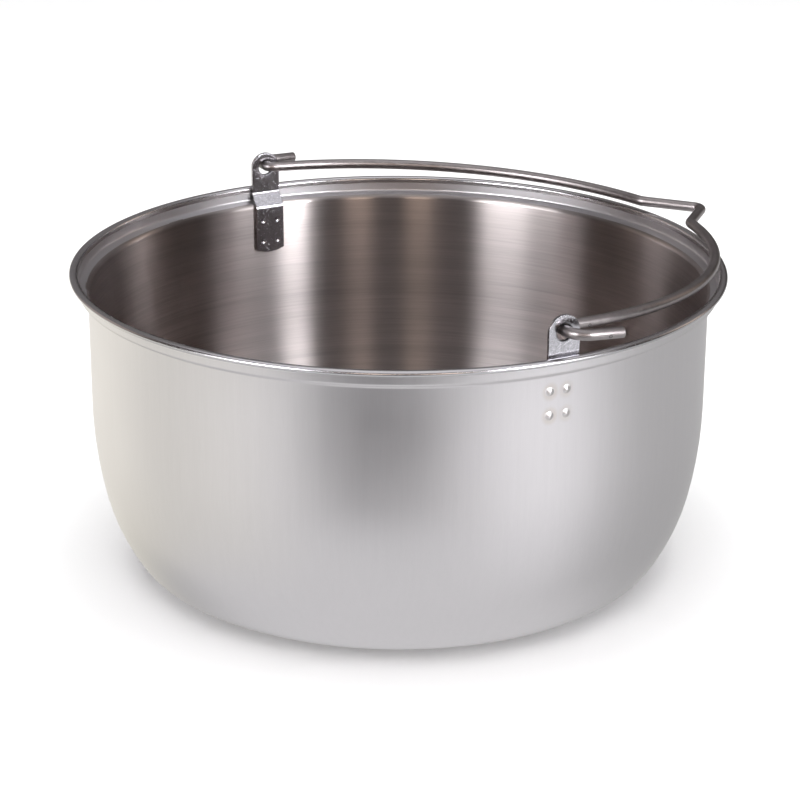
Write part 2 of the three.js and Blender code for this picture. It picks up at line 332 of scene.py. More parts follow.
def shell_profile():
    """The inside face of the sheet as points in the XZ plane, from the base's centre to the lip."""
    # the height at which the wall meets the heel
    height = slope = 0.0
    for bend, end in HEEL_BENDS:
        height += bend * (math.sin(math.radians(end)) - math.sin(math.radians(slope)))
        slope = end

    # the heel's bends from the wall down to the base, then turned round to run outwards
    points = []
    slope = 0.0
    radius = INNER_RADIUS
    for bend, end in HEEL_BENDS:
        inside = bend - SHEET
        centre = (
            radius - inside * math.cos(math.radians(slope)),
            height + inside * math.sin(math.radians(slope)),
        )
        steps = max(HEEL_LEAST_STEPS, round((end - slope) / HEEL_STEP_TURN))
        points += arc(centre, inside, -slope, -end, steps)
        slope = end
        radius, height = points[-1].x, points[-1].z
    points.append(Vector((0, 0, SHEET)))
    points.reverse()

    heel_top = points[-1].z
    for level in WALL_ROWS:
        points.append(Vector((INNER_RADIUS, 0, heel_top + (WALL_TOP - heel_top) * level)))
    centre = (INNER_RADIUS + SEAT_INNER_BEND, WALL_TOP)
    points += arc(centre, SEAT_INNER_BEND, 180, 90 + SEAT_SLOPE, SEAT_INNER_STEPS)
    centre = (
        STEP_INNER - SEAT_OUTER_BEND,
        SEAT_OUTER_HEIGHT + SEAT_OUTER_BEND * math.tan(SEAT_TURN / 2),
    )
    points += arc(centre, SEAT_OUTER_BEND, SEAT_SLOPE - 90, 0, SEAT_OUTER_STEPS)

    # the lip's curl is an oval: a round arc squeezed to its two half sizes
    lip = Vector((STEP_INNER + LIP_HALF_WIDTH, 0, POT_HEIGHT - LIP_HALF_HEIGHT))
    for point in arc((0, 0), 1.0, 180, 180 - LIP_CURL_TURN, LIP_STEPS):
        points.append(lip + Vector((LIP_HALF_WIDTH * point.x, 0, LIP_HALF_HEIGHT * point.z)))
    return points


def make_shell(inside, outside, rim):
    """The whole drawn shell, spun from its profile and given its sheet thickness outwards."""
    profile = shell_profile()
    shell = single_point("shell", profile[0])
    bpy.ops.mesh.select_all(action="SELECT")
    for here, there in zip(profile, profile[1:]):
        if (there - here).length > MERGE_WITHIN:
            draw_to(here, there)
    bpy.ops.mesh.select_all(action="SELECT")
    spin((0, 0, 0), (0, 0, 1), 360, SHELL_STEPS)
    bpy.ops.mesh.select_all(action="SELECT")
    bpy.ops.mesh.remove_doubles(threshold=MERGE_WITHIN)
    bpy.ops.mesh.normals_make_consistent(inside=False)
    finish_with(shell, inside, outside, rim, outside)
    # the rim's finish starts just above the seat's inner bend, so the bend keeps the darker inside
    # finish: painted shade along the crease
    select_where(shell, "faces", lambda place, face: place.z > WALL_TOP + SEAT_INNER_BEND * 0.9)
    shell.active_material_index = 2
    bpy.ops.object.material_slot_assign()
    leave()
    apply_modifier(
        shell, "SOLIDIFY", thickness=SHEET, offset=-1.0, use_even_offset=True, material_offset=1
    )
    smooth(shell)
    return shell


# ------------------------------------------------------------------ ears


def make_ear():
    """The rear ear: a flat strip drawn down from its hole, bent twice, then given its thickness."""
    half = EAR_WIDTH / 2
    slant = math.radians(JOGGLE_SLANT)
    tangent = JOGGLE_BEND * math.tan(slant / 2)
    upper = joggle_height(HEAD_RADIUS) + tangent
    lower = joggle_height(TAB_RADIUS) - tangent
    bottom = joggle_height(TAB_RADIUS) - EAR_TAB_LENGTH
    head_centre = (0, HEAD_RADIUS, EAR_HOLE_HEIGHT)

    deselect()
    bpy.ops.mesh.primitive_circle_add(
        vertices=EAR_HOLE_SIDES,
        radius=EAR_HOLE_RADIUS,
        location=head_centre,
        rotation=(math.pi / 2, 0, 0),
    )
    ear = bpy.context.active_object
    ear.name = "ear_rear"
    settle(ear)
    edit(ear, "EDGE")
    bpy.ops.mesh.select_all(action="SELECT")
    bpy.ops.mesh.extrude_region_move()
    bpy.ops.transform.resize(value=(half / EAR_HOLE_RADIUS,) * 3, center_override=head_centre)

    def round_the_head(place, edge):
        return place.z < EAR_HOLE_HEIGHT and all(
            abs((v.co - Vector(head_centre)).length - half) < 1e-5 for v in edge.verts
        )

    select_where(ear, "edges", round_the_head)
    line = EAR_HOLE_HEIGHT - half - EAR_NECK
    bpy.ops.mesh.extrude_region_move(TRANSFORM_OT_translate={"value": (0, 0, -0.001)})
    bpy.ops.transform.resize(value=(1, 1, 0), center_override=(0, HEAD_RADIUS, line))
    draw_to((0, 0, line), (0, 0, upper))
    spin((0, HEAD_RADIUS - JOGGLE_BEND, upper), (1, 0, 0), -JOGGLE_SLANT, JOGGLE_STEPS)
    run_y = HEAD_RADIUS - TAB_RADIUS - 2 * JOGGLE_BEND * (1 - math.cos(slant))
    run_z = run_y / math.tan(slant)
    draw_to((0, 0, 0), (0, -run_y, -run_z))
    spin((0, TAB_RADIUS + JOGGLE_BEND, lower), (1, 0, 0), JOGGLE_SLANT, JOGGLE_STEPS)
    for _ in range(EAR_TAB_ROWS):
        draw_to((0, 0, lower), (0, 0, lower - (lower - bottom) / EAR_TAB_ROWS))
    sag = EAR_TAB_END_SAG
    bow = (half**2 + sag**2) / (2 * sag)
    mesh = bmesh.from_edit_mesh(ear.data)
    for v in mesh.verts:
        if v.select:
            v.co.z = bottom + bow - math.sqrt(bow**2 - v.co.x**2)
    bmesh.update_edit_mesh(ear.data)
    bpy.ops.mesh.select_all(action="SELECT")
    bpy.ops.mesh.remove_doubles(threshold=MERGE_WITHIN)
    bpy.ops.mesh.normals_make_consistent(inside=False)
    leave()
    apply_modifier(ear, "SOLIDIFY", thickness=EAR_THICKNESS, offset=0.0)
    apply_modifier(
        ear,
        "BEVEL",
        width=EAR_EDGE_BEND,
        segments=EAR_EDGE_STEPS,
        limit_method="ANGLE",
        angle_limit=math.radians(50),
    )
    press_pits(ear)
    smooth(ear, 30)
    return ear


def weld_places():
    """The places of one ear's four welds, each as x and z."""
    top = joggle_height(TAB_RADIUS) - WELD_FIRST_ROW
    return [
        (side * WELD_COLUMN_PITCH / 2, top - row * WELD_ROW_PITCH)
        for row in (0, 1)
        for side in (-1, 1)
    ]


def press_pits(ear):
    """Presses the electrode's dimples into the ear's inner face."""
    ball = (WELD_PIT_RADIUS**2 + WELD_PIT_DEPTH**2) / (2 * WELD_PIT_DEPTH)
    face = TAB_RADIUS - EAR_THICKNESS / 2
    for x, z in weld_places():
        deselect()
        bpy.ops.mesh.primitive_uv_sphere_add(
            segments=PUNCH_SIDES,
            ring_count=PUNCH_RINGS,
            radius=ball,
            location=(x, face + WELD_PIT_DEPTH - ball, z),
        )
        punch = bpy.context.active_object
        settle(punch)
        apply_modifier(ear, "BOOLEAN", operation="DIFFERENCE", object=punch, solver="EXACT")
        bpy.data.objects.remove(punch)
    edit(ear)
    bpy.ops.mesh.select_all(action="SELECT")
    bpy.ops.mesh.remove_doubles(threshold=2 * MERGE_WITHIN)
    bpy.ops.mesh.dissolve_degenerate(threshold=2 * MERGE_WITHIN)
    bpy.ops.mesh.select_all(action="DESELECT")
    bpy.ops.mesh.select_non_manifold()
    bpy.ops.mesh.fill_holes(sides=0)
    leave()


# ------------------------------------------------------------------ weld bumps


def make_weld_bump():
    """The pattern of all eight: a low dome outside the wall at +Y, drawn up from a circle."""
    deselect()
    start = WALL_OUTER - WELD_HEAD_SINK
    bpy.ops.mesh.primitive_circle_add(
        vertices=WELD_HEAD_SIDES,
        radius=WELD_HEAD_RADIUS,
        location=(0, start, 0),
        rotation=(-math.pi / 2, 0, 0),
    )
    dome = bpy.context.active_object
    dome.name = "weld_pattern"
    settle(dome)
    edit(dome, "EDGE")
    bpy.ops.mesh.select_all(action="SELECT")
    share, rise = 1.0, 0.0
    for ring in range(1, WELD_HEAD_RINGS + 1):
        reach = 1 - ring / (WELD_HEAD_RINGS + 0.5)
        full = WELD_HEAD_HEIGHT + WELD_HEAD_SINK
        height = full * (0.5 + 0.5 * math.cos(math.pi * reach)) ** 0.8
        bpy.ops.mesh.extrude_region_move(TRANSFORM_OT_translate={"value": (0, height - rise, 0)})
        bpy.ops.transform.resize(
            value=(reach / share, 1, reach / share), center_override=(0, start, 0)
        )
        share, rise = reach, height
    bpy.ops.mesh.edge_face_add()
    bpy.ops.mesh.select_all(action="DESELECT")
    bpy.ops.mesh.select_non_manifold()
    bpy.ops.mesh.edge_face_add()
    bpy.ops.mesh.select_all(action="SELECT")
    bpy.ops.mesh.normals_make_consistent(inside=False)
    leave()
    smooth(dome, 60)
    return dome


# ------------------------------------------------------------------ bail


def mirrored(place):
    """The same place on the wire's other half."""
    return Vector((place[0], -place[1], place[2]))


def make_bail():
    """The wire, bent as it is made: straight runs drawn out and bends swept round their centres."""
    flare = math.radians(HOOK_FLARE)
    corner = HEAD_RADIUS + EAR_THICKNESS / 2 + HOOK_OFFSET
    end = Vector((HOOK_LENGTH, corner + HOOK_LENGTH * math.tan(flare), 0))
    outer_tangent = HOOK_OUTER_BEND * math.tan(math.radians(90 - HOOK_FLARE) / 2)
    outer_centre = Vector((HOOK_OUTER_BEND, corner - outer_tangent, 0))

    arc_radius = BAIL_HALF_SPAN + BAIL_POINT
    arc_centre = Vector((0, -BAIL_POINT, 0))
    inner_reach = arc_radius + HOOK_INNER_BEND
    inner_turn = math.degrees(math.asin(HOOK_INNER_BEND / inner_reach))
    inner_y = arc_centre.y + math.sqrt(inner_reach**2 - HOOK_INNER_BEND**2)
    inner_centre = Vector((HOOK_INNER_BEND, inner_y, 0))

    base_run = math.sqrt(arc_radius**2 - (NOTCH_HALF_WIDTH + BAIL_POINT) ** 2)
    base = Vector((base_run, NOTCH_HALF_WIDTH, 0))
    leg = math.atan2(NOTCH_HALF_WIDTH, NOTCH_DEPTH)
    normal = Vector((math.sin(leg), math.cos(leg), 0))
    reach = arc_radius + NOTCH_BASE_BEND
    clear = normal.dot(base - arc_centre)
    base_turn = math.pi / 2 - leg - math.acos((NOTCH_BASE_BEND + clear) / reach)
    base_angle = math.degrees(base_turn)
    base_centre = arc_centre + reach * Vector((math.cos(base_turn), math.sin(base_turn), 0))
    tip_centre = Vector((base.x + NOTCH_DEPTH - NOTCH_TIP_BEND / math.sin(leg), 0, 0))
    leg_degrees = math.degrees(leg)
    base_sweep = (270 - leg_degrees) - (180 + base_angle)
    tip_start = tip_centre + NOTCH_TIP_BEND * normal
    base_end = base_centre - NOTCH_BASE_BEND * normal

    deselect()
    bpy.ops.mesh.primitive_circle_add(
        vertices=WIRE_SIDES, radius=WIRE_RADIUS, location=end, rotation=(0, math.pi / 2, flare)
    )
    bail = bpy.context.active_object
    bail.name = "bail_wire"
    settle(bail)
    edit(bail, "EDGE")
    bpy.ops.mesh.select_all(action="SELECT")
    outer_start = outer_centre + HOOK_OUTER_BEND * Vector((-math.sin(flare), math.cos(flare), 0))
    up = (0, 0, 1)

    draw_to(end, outer_start)
    spin(outer_centre, up, 90 - HOOK_FLARE, HOOK_STEPS)
    draw_to((0, outer_centre.y, 0), (0, inner_centre.y, 0))
    spin(inner_centre, up, 90 - inner_turn, HOOK_STEPS)
    spin(arc_centre, up, base_angle - (90 - inner_turn), BAIL_STEPS)
    spin(base_centre, up, base_sweep, NOTCH_BASE_STEPS)
    draw_to(base_end, tip_start)
    spin(tip_centre, up, -(180 - 2 * leg_degrees), NOTCH_TIP_STEPS)
    draw_to(mirrored(tip_start), mirrored(base_end))
    spin(mirrored(base_centre), up, base_sweep, NOTCH_BASE_STEPS)
    spin(mirrored(arc_centre), up, base_angle - (90 - inner_turn), BAIL_STEPS)
    spin(mirrored(inner_centre), up, 90 - inner_turn, HOOK_STEPS)
    draw_to((0, -inner_centre.y, 0), (0, -outer_centre.y, 0))
    spin(mirrored(outer_centre), up, 90 - HOOK_FLARE, HOOK_STEPS)
    draw_to(mirrored(outer_start), mirrored(end))
    bpy.ops.mesh.edge_face_add()
    select_where(bail, "edges", lambda _, edge: edge.is_boundary)
    bpy.ops.mesh.edge_face_add()
    select_where(bail, "faces", lambda _, face: len(face.verts) > 4)
    bpy.ops.mesh.bevel(offset=WIRE_END_BEND, segments=WIRE_END_STEPS, affect="EDGES")
    bpy.ops.mesh.select_all(action="SELECT")
    bpy.ops.mesh.remove_doubles(threshold=MERGE_WITHIN)
    bpy.ops.mesh.normals_make_consistent(inside=False)
    leave()
    tilt = Matrix.Rotation(math.radians(REST_TILT), 4, "Y")
    bail.data.transform(Matrix.Translation((0, 0, PIVOT_HEIGHT)) @ tilt)
    smooth(bail)
    return bail


# ------------------------------------------------------------------ finishes


class Nodes:
    """Short ways to add and join nodes in one tree."""

    def __init__(self, tree):
        self.tree = tree

    def add(self, kind, inputs=(), **settings):
        node = self.tree.nodes.new(kind)
        for key, value in settings.items():
            setattr(node, key, value)
        for name, value in dict(inputs).items():
            socket = node.inputs[name]
            if isinstance(value, bpy.types.NodeSocket):
                self.tree.links.new(value, socket)
            else:
                socket.default_value = value
        return node

    def maths(self, operation, *values):
        return self.add("ShaderNodeMath", enumerate(values), operation=operation).outputs[0]

    def vector(self, operation, *values, scale=None):
        inputs = dict(enumerate(values))
        if scale is not None:
            inputs["Scale"] = scale
        return self.add("ShaderNodeVectorMath", inputs, operation=operation).outputs[0]

    def turned(self, vector, angles):
        inputs = {"Vector": vector, "Rotation": angles}
        return self.add("ShaderNodeMapping", inputs).outputs[0]

    def distance(self, vector, place):
        node = self.add("ShaderNodeVectorMath", {0: vector, 1: place}, operation="DISTANCE")
        return node.outputs["Value"]

    def length(self, vector):
        return self.add("ShaderNodeVectorMath", {0: vector}, operation="LENGTH").outputs["Value"]

    def noise(self, vector, scale, detail=2.0, roughness=0.5):
        inputs = {"Vector": vector, "Scale": scale, "Detail": detail, "Roughness": roughness}
        return self.add("ShaderNodeTexNoise", inputs).outputs["Fac"]

    def between(self, value, low, high, to_low=0.0, to_high=1.0, smooth=False):
        inputs = {"Value": value, "From Min": low, "From Max": high}
        inputs.update({"To Min": to_low, "To Max": to_high})
        kind = "SMOOTHSTEP" if smooth else "LINEAR"
        return self.add("ShaderNodeMapRange", inputs, interpolation_type=kind).outputs["Result"]

    def mix(self, share, first, second):
        node = self.add("ShaderNodeMix", data_type="RGBA")
        for name, value in ((0, share), (6, first), (7, second)):
            if isinstance(value, bpy.types.NodeSocket):
                self.tree.links.new(value, node.inputs[name])
            else:
                node.inputs[name].default_value = value
        return node.outputs[2]


def node_group(name, inputs, outputs):
    """A shader node group with its sockets, as the group, its Nodes, its inputs and its output."""
    group = bpy.data.node_groups.new(name, "ShaderNodeTree")
    for label, kind, value in inputs:
        socket = group.interface.new_socket(label, in_out="INPUT", socket_type=kind)
        if value is not None:
            socket.default_value = value
    for label, kind in outputs:
        group.interface.new_socket(label, in_out="OUTPUT", socket_type=kind)
    nodes = Nodes(group)
    return group, nodes, nodes.add("NodeGroupInput").outputs, nodes.add("NodeGroupOutput")


def grain_group():
    """Fine parallel lines: long along one direction of its Vector and close together across it."""
    group, n, given, out = node_group(
        "brushed grain",
        [("Vector", "NodeSocketVector", None), ("Fineness", "NodeSocketFloat", 900.0)],
        [("Lines", "NodeSocketFloat"), ("Patches", "NodeSocketFloat")],
    )
    fine = n.noise(given["Vector"], given["Fineness"], 3.0, 0.65)
    coarse = n.noise(given["Vector"], n.maths("MULTIPLY", given["Fineness"], 0.17), 2.0)
    lines = n.maths("ADD", n.maths("MULTIPLY", fine, 0.6), n.maths("MULTIPLY", coarse, 0.4))
    patches = n.noise(given["Vector"], n.maths("MULTIPLY", given["Fineness"], 0.03), 2.0)
    group.links.new(lines, out.inputs["Lines"])
    group.links.new(patches, out.inputs["Patches"])
    return group


def handling_group():
    """Smudges and scattered hair scratches from handling."""
    group, n, given, out = node_group(
        "handling marks",
        [("Vector", "NodeSocketVector", None), ("Scratches", "NodeSocketFloat", 0.5)],
        [("Smudges", "NodeSocketFloat"), ("Scratches", "NodeSocketFloat")],
    )
    smudges = n.between(n.noise(given["Vector"], 28.0, 4.0, 0.6), 0.42, 0.7, smooth=True)
    scratches = None
    for turn, scale in ((0.6, 1100.0), (-0.9, 1400.0), (1.9, 900.0)):
        turned = n.turned(given["Vector"], (turn, turn * 0.7, turn))
        drawn_out = n.vector("MULTIPLY", turned, (1.0, 1.0, 0.04))
        line = n.between(n.noise(drawn_out, scale, 1.0), 0.7, 0.76)
        scratches = line if scratches is None else n.maths("MAXIMUM", scratches, line)
    scratches = n.maths("MULTIPLY", scratches, given["Scratches"])
    group.links.new(smudges, out.inputs["Smudges"])
    group.links.new(scratches, out.inputs["Scratches"])
    return group


def steel(name, slot_colour):
    """A new metal material with its Nodes, its shader and the piece's own coordinates."""
    material = bpy.data.materials.new(name)
    material.use_nodes = True
    n = Nodes(material.node_tree)
    shader = material.node_tree.nodes["Principled BSDF"]
    shader.inputs["Metallic"].default_value = 1.0
    shader.inputs["Base Color"].default_value = (*slot_colour, 1)
    place = n.add("ShaderNodeTexCoord").outputs["Object"]
    return material, n, shader, place


def use_group(n, group, **inputs):
    """Puts a node group into a material and returns its outputs."""
    node = n.add("ShaderNodeGroup")
    node.node_tree = group
    for name, value in inputs.items():
        socket = node.inputs[name]
        if isinstance(value, bpy.types.NodeSocket):
            n.tree.links.new(value, socket)
        else:
            socket.default_value = value
    return node.outputs


def tone(colour, share):
    """A colour made darker or lighter, with its alpha."""
    return tuple(min(1.0, part * share) for part in colour) + (1.0,)


def join(n, shader, **sockets):
    """Links values into the shader's sockets; an underscore stands for a space in a name."""
    for name, value in sockets.items():
        n.tree.links.new(value, shader.inputs[name.replace("_", " ")])


def bump(n, height, strength):
    """The normals of a surface with a very shallow relief."""
    inputs = {"Height": height, "Distance": BUMP_DEPTH, "Strength": strength}
    return n.add("ShaderNodeBump", inputs).outputs[0]


def outside_steel(grain, handling):
    """Matt satin sheet with hair-fine lines up the wall, faintly browned round the welds."""
    material, n, shader, place = steel("satin_outside", OUTSIDE_COLOUR)
    upright = n.vector("MULTIPLY", place, (1.0, 1.0, 0.035))
    lines = use_group(n, grain, Vector=upright, Fineness=2600.0)
    marks = use_group(n, handling, Vector=place, Scratches=0.35)
    rough = n.maths("ADD", n.between(lines["Lines"], 0.35, 0.65, -0.015, 0.015), OUTSIDE_ROUGHNESS)
    rough = n.maths("ADD", rough, n.maths("MULTIPLY", marks["Smudges"], -0.02))
    shade = n.between(lines["Lines"], 0.3, 0.7, 0.0, 1.0)
    colour = n.mix(shade, tone(OUTSIDE_COLOUR, 0.975), tone(OUTSIDE_COLOUR, 1.02))
    uneven = n.between(lines["Patches"], 0.35, 0.65, 0.0, 0.25)
    heat = n.maths("MULTIPLY", heat_round_welds(n, place), uneven)
    join(
        n,
        shader,
        Base_Color=n.mix(heat, colour, WELD_TINT),
        Roughness=rough,
        Normal=bump(n, lines["Lines"], 0.25),
        Tangent=n.add("ShaderNodeTangent", direction_type="RADIAL", axis="Z").outputs[0],
    )
    shader.inputs["Anisotropic"].default_value = 0.3
    return material


def heat_round_welds(n, place):
    """A mask that is 1 at every weld and fades just outside it."""
    folded = n.vector("ABSOLUTE", place)
    mask = None
    for x, z in weld_places():
        if x > 0:
            away = n.distance(folded, (x, WALL_OUTER, z))
            spot = n.between(away, WELD_HEAD_RADIUS, WELD_HEAD_RADIUS * 2, 1.0, 0.0, smooth=True)
            mask = spot if mask is None else n.maths("MAXIMUM", mask, spot)
    return mask


def round_and_round(n, place):
    """Coordinates that hardly change along a circle round the pot and change fast across it."""
    parts = n.add("ShaderNodeSeparateXYZ", {"Vector": place}).outputs
    flat = n.vector("MULTIPLY", place, (1.0, 1.0, 0.0))
    radius = n.length(flat)
    heading = n.vector("SCALE", n.vector("NORMALIZE", flat), scale=0.003)
    across = n.maths("ADD", parts["Z"], radius)
    return n.vector("ADD", heading, n.add("ShaderNodeCombineXYZ", {"Z": across}).outputs[0])


def inside_steel(grain, handling):
    """Sheet brushed round and round, so that lamps stretch into upright bands on it."""
    material, n, shader, place = steel("brushed_inside", INSIDE_COLOUR)
    lines = use_group(n, grain, Vector=round_and_round(n, place), Fineness=1000.0)
    marks = use_group(n, handling, Vector=place, Scratches=0.6)
    rough = n.between(marks["Smudges"], 0.0, 1.0, INSIDE_ROUGHNESS, INSIDE_ROUGHNESS + 0.01)
    shade = n.between(lines["Lines"], 0.3, 0.7, 0.0, 1.0)
    join(
        n,
        shader,
        Base_Color=n.mix(shade, tone(INSIDE_COLOUR, 0.8), tone(INSIDE_COLOUR, 1.1)),
        Roughness=rough,
        Normal=bump(n, lines["Lines"], 0.2),
        Tangent=n.add("ShaderNodeTangent", direction_type="RADIAL", axis="Z").outputs[0],
    )
    shader.inputs["Anisotropic"].default_value = 1.0
    shader.inputs["Anisotropic Rotation"].default_value = 0.25
    return material


def rim_steel(grain, handling):
    """The seat, turned to a soft sheen with faint rings, and the rolled lip, polished bright."""
    material, n, shader, place = steel("turned_rim", RIM_COLOUR)
    height = n.add("ShaderNodeSeparateXYZ", {"Vector": place}).outputs["Z"]
    bead = n.between(height, LIP_FOOT, LIP_FULL, smooth=True)
    lines = use_group(n, grain, Vector=round_and_round(n, place), Fineness=2000.0)
    marks = use_group(n, handling, Vector=place, Scratches=0.4)
    rough = n.between(bead, 0.0, 1.0, RIM_ROUGHNESS, LIP_ROUGHNESS)
    rough = n.maths("ADD", n.between(lines["Lines"], 0.35, 0.65, -0.03, 0.03), rough)
    shade = n.maths("MAXIMUM", n.maths("MULTIPLY", marks["Smudges"], 0.4), bead)
    join(
        n,
        shader,
        Base_Color=n.mix(shade, tone(RIM_COLOUR, 1.0), tone(RIM_COLOUR, 0.95)),
        Roughness=rough,
        Normal=bump(n, lines["Lines"], 0.2),
    )
    return material


def stamped_steel(grain, handling):
    """Smooth cold-rolled strip with upright streaks, slanting scratches and painted shade round the
    hole.
    """
    material, n, shader, place = steel("stamped_strip", EAR_COLOUR)
    upright = n.vector("MULTIPLY", place, (1.0, 1.0, 0.12))
    lines = use_group(n, grain, Vector=upright, Fineness=1800.0)
    marks = use_group(n, handling, Vector=place, Scratches=1.0)
    mottle = n.noise(place, 900.0, 3.0, 0.6)
    streaks = n.maths("MULTIPLY", lines["Lines"], mottle)
    rough = n.between(streaks, 0.15, 0.35, EAR_ROUGHNESS - 0.04, EAR_ROUGHNESS + 0.05)
    rough = n.maths("ADD", rough, n.maths("MULTIPLY", marks["Scratches"], 0.2))
    shade = n.between(streaks, 0.17, 0.33)
    colour = n.mix(shade, tone(EAR_COLOUR, 0.85), tone(EAR_COLOUR, 1.1))
    # painted shade: the strip's colour darkens towards the hole's edge, standing in for the shadow
    # in the gap round the wire
    away = n.distance(n.vector("MULTIPLY", place, (1.0, 0.0, 1.0)), (0.0, 0.0, EAR_HOLE_HEIGHT))
    hole_shade_to = EAR_HOLE_RADIUS + HOLE_PAINTED_SHADE_WIDTH
    painted_darkening = n.between(away, EAR_HOLE_RADIUS, hole_shade_to, 0.75, 0.0, smooth=True)
    join(
        n,
        shader,
        Base_Color=n.mix(painted_darkening, colour, tone(EAR_COLOUR, 0.12)),
        Roughness=rough,
        Normal=bump(n, n.maths("SUBTRACT", streaks, marks["Scratches"]), 0.16),
    )
    return material


def weld_steel():
    """The dome a spot weld raises, dulled and faintly browned round its foot."""
    material, n, shader, place = steel("heat_tinted_weld", OUTSIDE_COLOUR)
    blotch = n.noise(place, 900.0, 3.0)
    tint = n.between(blotch, 0.35, 0.7, 0.0, 0.25)
    join(
        n,
        shader,
        Base_Color=n.mix(tint, tone(OUTSIDE_COLOUR, 1.0), WELD_TINT),
        Roughness=n.between(blotch, 0.3, 0.7, OUTSIDE_ROUGHNESS - 0.02, OUTSIDE_ROUGHNESS + 0.06),
        Normal=bump(n, blotch, 0.2),
    )
    return material


def jaw_mark(n, place):
    """A ring-shaped mark where the cutter's jaw touched the front hook near its end."""
    across = n.add("ShaderNodeSeparateXYZ", {"Vector": place}).outputs["Y"]
    front = n.maths("LESS_THAN", across, -INNER_RADIUS)
    seen = n.vector("MULTIPLY", place, (1.0, 0.0, 1.0))
    middle = (HOOK_LENGTH - JAW_MARK_FROM_END, 0.0, PIVOT_HEIGHT - JAW_MARK_DROP)
    away = n.distance(seen, middle)
    ring = n.maths("ABSOLUTE", n.maths("SUBTRACT", away, JAW_MARK_RADIUS))
    return n.maths("MULTIPLY", n.between(ring, *JAW_MARK_EDGE, 1.0, 0.0, smooth=True), front)


def wire_steel(handling):
    """Drawn wire: a dull skin with faint marks, with painted shade where it turns in the ears."""
    material, n, shader, place = steel("drawn_wire", WIRE_COLOUR)
    mottle = n.noise(place, 420.0, 4.0, 0.65)
    marks = use_group(n, handling, Vector=place, Scratches=0.8)
    patches = n.noise(place, 60.0, 2.0)
    rough = n.maths("ADD", n.between(mottle, 0.3, 0.7, -0.06, 0.06), WIRE_ROUGHNESS)
    rough = n.maths("ADD", rough, n.maths("MULTIPLY", marks["Scratches"], 0.12))
    shade = n.maths("ADD", n.maths("MULTIPLY", mottle, 0.6), n.maths("MULTIPLY", patches, 0.4))
    colour = n.mix(n.between(shade, 0.35, 0.65), tone(WIRE_COLOUR, 0.85), tone(WIRE_COLOUR, 1.12))
    # painted shade: the wire's colour darkens where it turns in the ears' holes; the jaw mark joins
    # the same darkening
    away = n.distance(n.vector("ABSOLUTE", place), (0.0, HEAD_RADIUS, PIVOT_HEIGHT))
    painted_darkening = n.between(away, *WIRE_PAINTED_SHADE_REACH, 0.8, 0.0, smooth=True)
    painted_darkening = n.maths("MAXIMUM", painted_darkening, n.maths("MULTIPLY", jaw_mark(n, place), 0.8))
    join(
        n,
        shader,
        Base_Color=n.mix(painted_darkening, colour, tone(WIRE_COLOUR, 0.15)),
        Roughness=rough,
        Normal=bump(n, mottle, 0.12),
    )
    return material


def finish_with(obj, *materials):
    """Gives a piece its materials, in order."""
    for material in materials:
        obj.data.materials.append(material)


# ------------------------------------------------------------------ stage


def add_overhead():
    """A square soft light straight above the pot, shining down."""
    light = bpy.data.lights.new("overhead", "AREA")
    light.shape = "SQUARE"
    light.size = OVERHEAD_SIZE
    light.energy = OVERHEAD_POWER
    obj = bpy.data.objects.new("overhead", light)
    bpy.context.scene.collection.objects.link(obj)
    obj.location = (0, 0, OVERHEAD_HEIGHT)
    obj.visible_glossy = False


def add_floor():
    """A plain pale floor just under the base; the metal mirrors the studio's table instead."""
    deselect()
    bpy.ops.mesh.primitive_plane_add(size=FLOOR_SIZE, location=(0, 0, -FLOOR_DROP))
    floor = bpy.context.active_object
    floor.name = "floor"
    material = bpy.data.materials.new("pale_floor")
    material.use_nodes = True
    shader = material.node_tree.nodes["Principled BSDF"]
    shader.inputs["Base Color"].default_value = FLOOR_COLOUR
    shader.inputs["Roughness"].default_value = 0.9
    shader.inputs["Specular IOR Level"].default_value = 0.1
    floor.data.materials.append(material)
    floor.visible_glossy = False


def add_world():
    """Plain even light, and for shine alone a studio of soft boxes set by direction."""
    world = bpy.data.worlds.new("studio")
    bpy.context.scene.world = world
    world.use_nodes = True
    bpy.context.scene.view_settings.view_transform = "Standard"
    n = Nodes(world.node_tree)
    plain = world.node_tree.nodes["Background"]
    plain.inputs["Color"].default_value = (1, 1, 1, 1)
    plain.inputs["Strength"].default_value = WORLD_STRENGTH

    # what the metal mirrors: a pale table, a dim brown room and soft boxes
    heading = n.add("ShaderNodeTexCoord").outputs["Generated"]
    turned = n.turned(heading, (0, 0, -VIEW_TURN))
    parts = n.add("ShaderNodeSeparateXYZ", {"Vector": turned}).outputs
    degrees = 180 / math.pi
    towards = n.maths("MULTIPLY", parts["Y"], -1.0)
    azimuth = n.maths("MULTIPLY", n.maths("ARCTAN2", parts["X"], towards), degrees)
    height = n.maths("MULTIPLY", n.maths("ARCSINE", parts["Z"]), degrees)

    def patch(middle, half, soft, level, rise, fade, strength, tint):
        """A soft-edged patch of light round an azimuth and a height, all in degrees."""
        across = n.maths("WRAP", n.maths("SUBTRACT", azimuth, middle), 180.0, -180.0)
        across = n.maths("ABSOLUTE", across)
        across = n.between(across, half, half + soft, 1.0, 0.0, smooth=True)
        up = n.maths("ABSOLUTE", n.maths("SUBTRACT", height, level))
        up = n.between(up, rise, rise + fade, 1.0, 0.0, smooth=True)
        amount = n.maths("MULTIPLY", n.maths("MULTIPLY", across, up), strength)
        return n.vector("SCALE", tint, scale=amount)

    table = n.between(height, 2.0, -8.0, 0.0, 1.0, smooth=True)
    total = n.mix(table, ROOM_COLOUR, TABLE_COLOUR)
    for values in STUDIO_PATCHES:
        total = n.vector("ADD", total, patch(*values))
    total = n.vector("MAXIMUM", total, (0.0, 0.0, 0.0))
    mirrored_room = n.add("ShaderNodeBackground", {"Color": total}).outputs[0]
    glossy = n.add("ShaderNodeLightPath").outputs["Is Glossy Ray"]
    both = n.add("ShaderNodeMixShader", {0: glossy, 1: plain.outputs[0], 2: mirrored_room})
    output = world.node_tree.nodes["World Output"]
    world.node_tree.links.new(both.outputs[0], output.inputs["Surface"])


